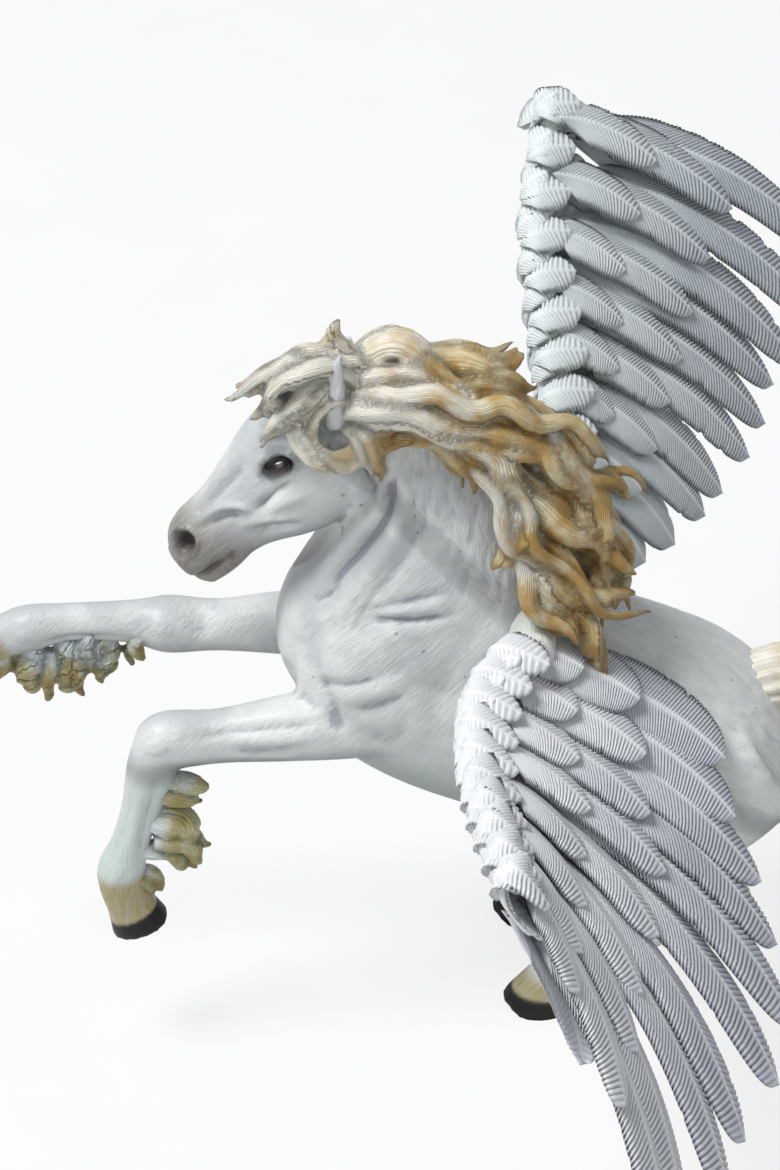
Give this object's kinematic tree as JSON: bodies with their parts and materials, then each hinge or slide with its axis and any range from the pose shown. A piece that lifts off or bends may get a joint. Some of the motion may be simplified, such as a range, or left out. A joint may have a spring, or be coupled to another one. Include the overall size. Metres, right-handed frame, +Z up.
{
  "type": "pegasus figurine",
  "caption": "Winged horse figurine in a leap, standing on its hind hooves and the end of its tail, with a streaming mane and spread feathered wings.",
  "frame": {"origin": "centre of the bounding box's bottom face, on the ground the figurine stands on", "axes": "+Z up; the horse faces -X and its left side is towards -Y, so the wings spread along Y"},
  "size_m": [0.1433, 0.1736, 0.1113],
  "materials": {
    "body_paint": "moulded soft plastic painted satin white, with washes of mint and lilac and ochre tips",
    "wing_paint": "moulded soft plastic painted pale blue grey, with darker washes in the grooves"
  },
  "bodies": {
    "root": {"horse_body": "body_paint", "left_wing": "wing_paint", "right_wing": "wing_paint"}
  },
  "joints": []
}
